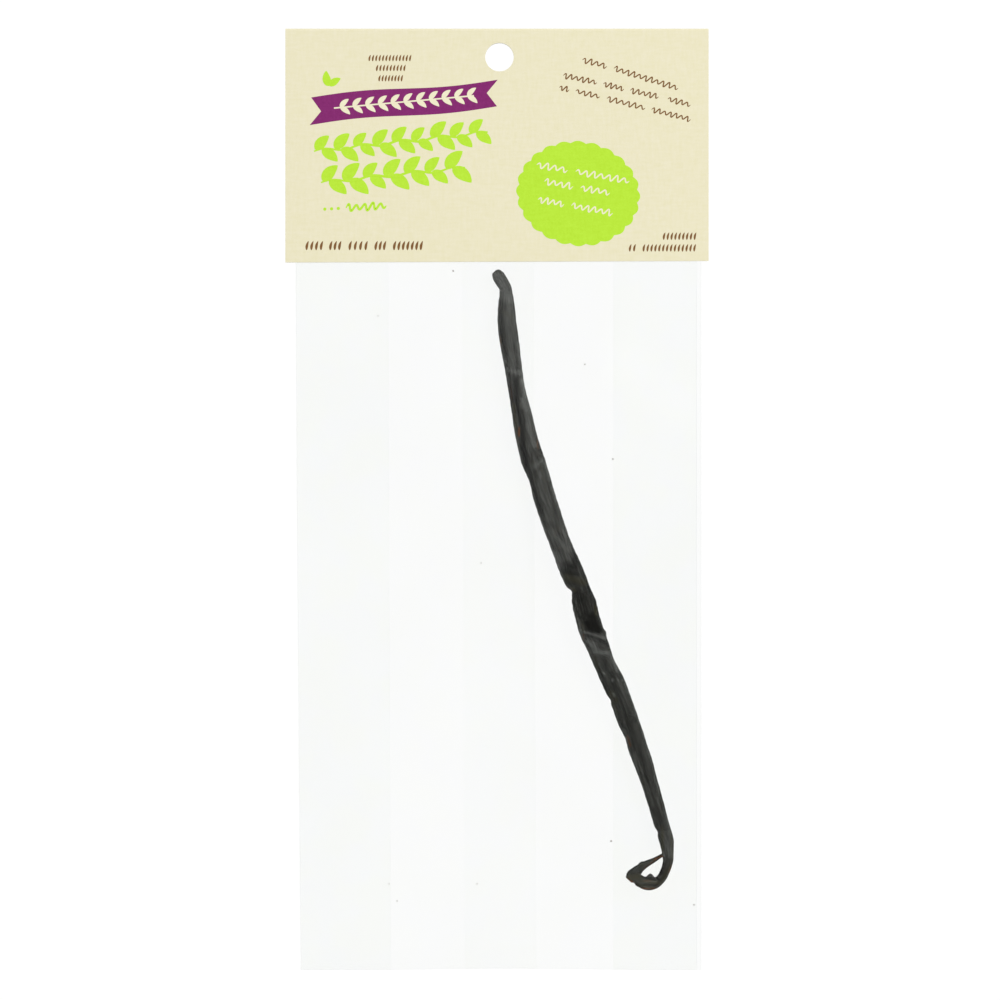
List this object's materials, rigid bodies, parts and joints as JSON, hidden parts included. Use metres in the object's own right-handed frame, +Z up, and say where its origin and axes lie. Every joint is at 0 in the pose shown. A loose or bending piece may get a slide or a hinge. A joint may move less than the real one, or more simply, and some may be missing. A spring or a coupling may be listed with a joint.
{
  "type": "vanilla pod hang pack",
  "caption": "Hang pack of a cured vanilla pod: a clear gusseted film bag with a heat-sealed end under a folded card header with a hang hole.",
  "frame": {"origin": "centre of the pack's bounding box, on the surface that the pack lies on", "axes": "+Z up out of the pack's front, +Y along the pack towards the card header, +X to the right seen from the front"},
  "size_m": [0.1194, 0.2658, 0.006],
  "materials": {
    "header_card": "matte, faint linen mottle",
    "bag": "clear gloss film",
    "pod": "cured, oily dark skin with long wrinkles"
  },
  "bodies": {
    "root": {"header_card": "header_card", "bag": "bag"}
  },
  "joints": []
}
